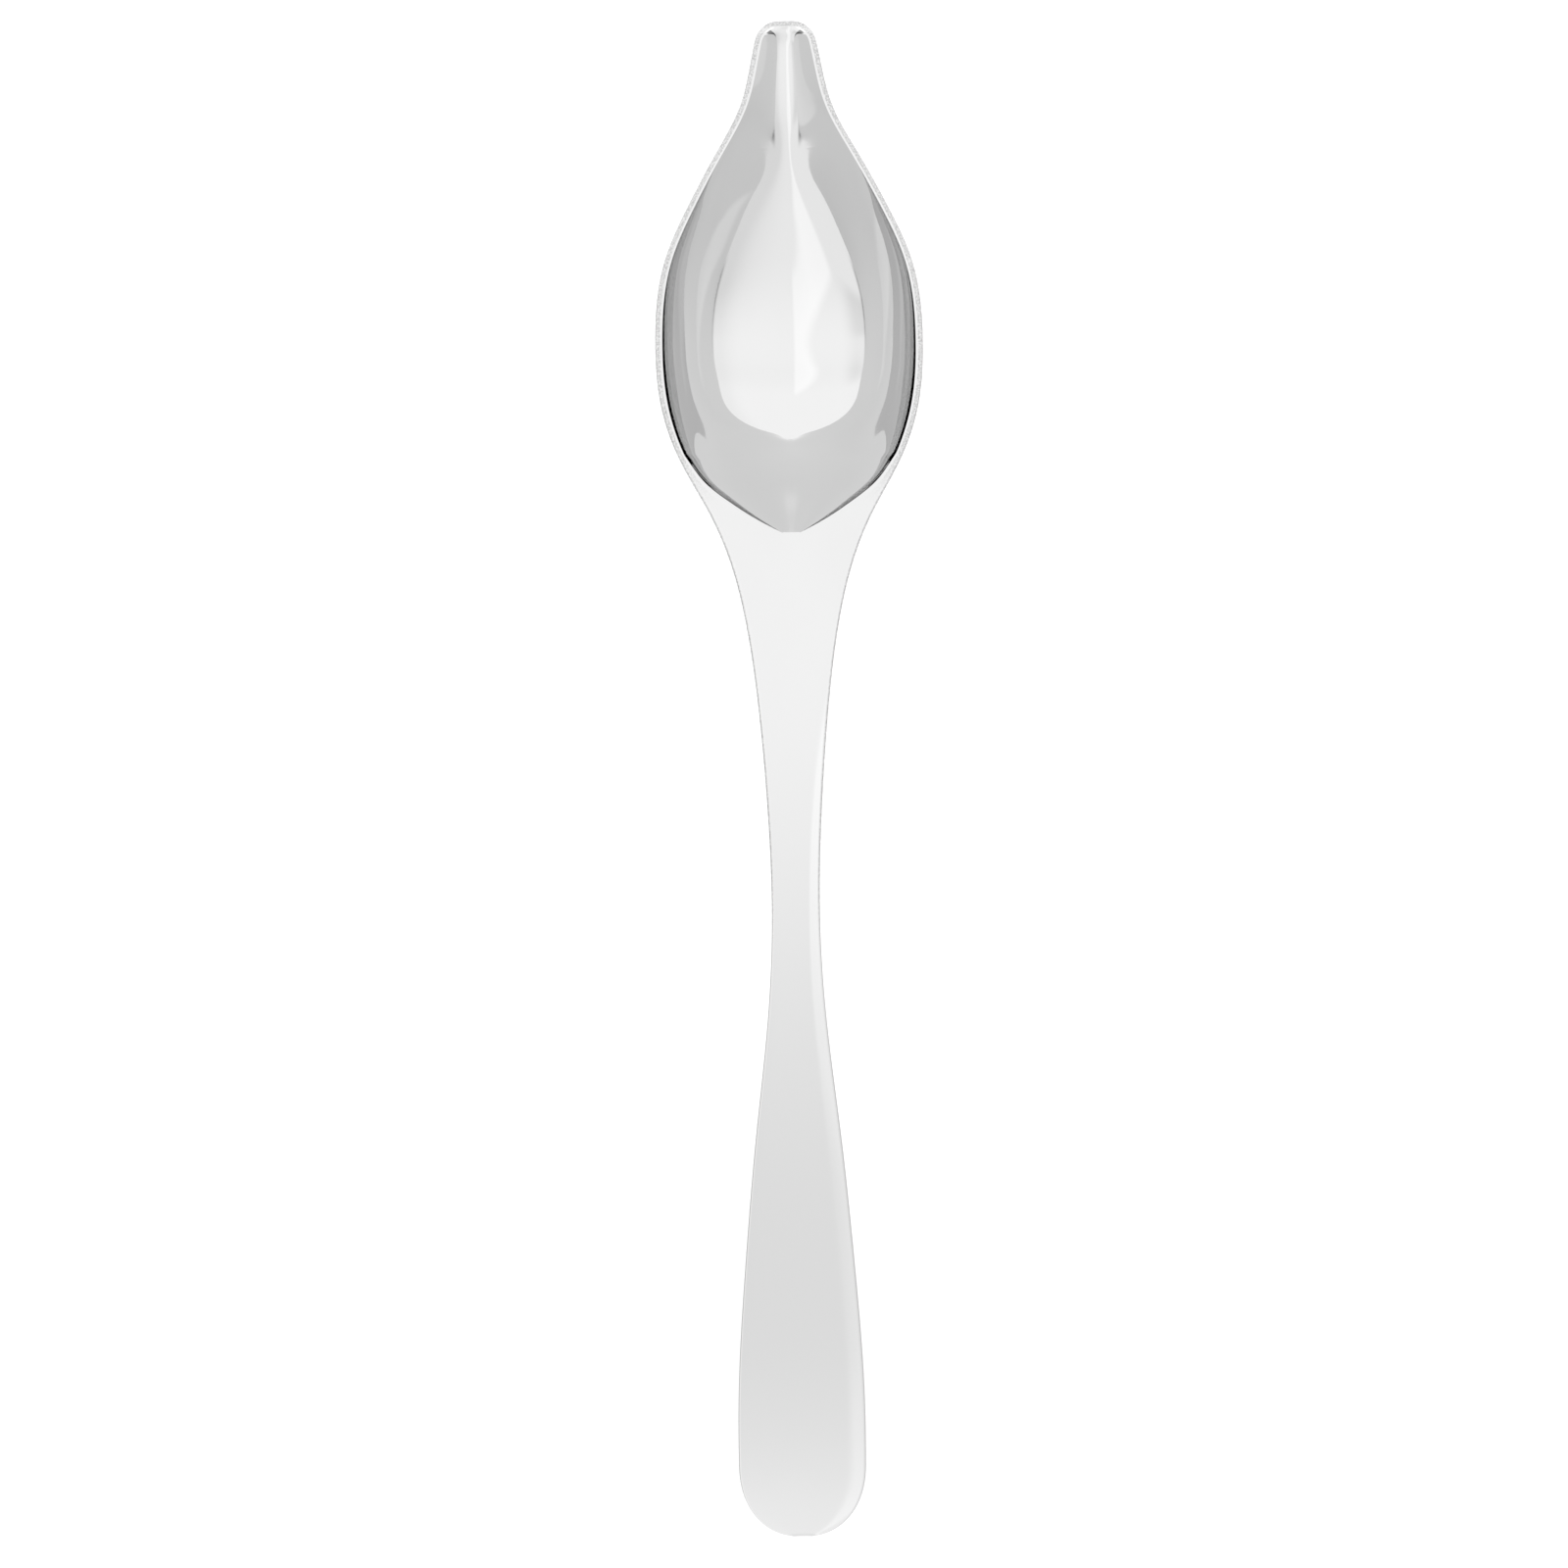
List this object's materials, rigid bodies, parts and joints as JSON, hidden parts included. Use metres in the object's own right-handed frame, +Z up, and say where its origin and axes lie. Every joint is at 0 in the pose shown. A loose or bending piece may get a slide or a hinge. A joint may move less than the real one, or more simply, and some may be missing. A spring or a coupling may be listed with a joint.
{
  "type": "sauce spoon",
  "caption": "Mirror-polished steel spoon with a deep teardrop bowl, a narrow pouring spout at the front, a slim neck and a flat handle that widens to a rounded end.",
  "frame": {"origin": "on the surface the spoon stands on, under the middle of its length and width", "axes": "+Y runs along the spoon to the tip of the spout, +X to the right seen from the handle end, +Z up out of the open bowl"},
  "size_m": [0.036, 0.205, 0.0179],
  "materials": {
    "polished_steel": "polished"
  },
  "bodies": {
    "root": {"pour_spout": "polished_steel", "bowl": "polished_steel", "neck": "polished_steel", "handle": "polished_steel"}
  },
  "joints": []
}
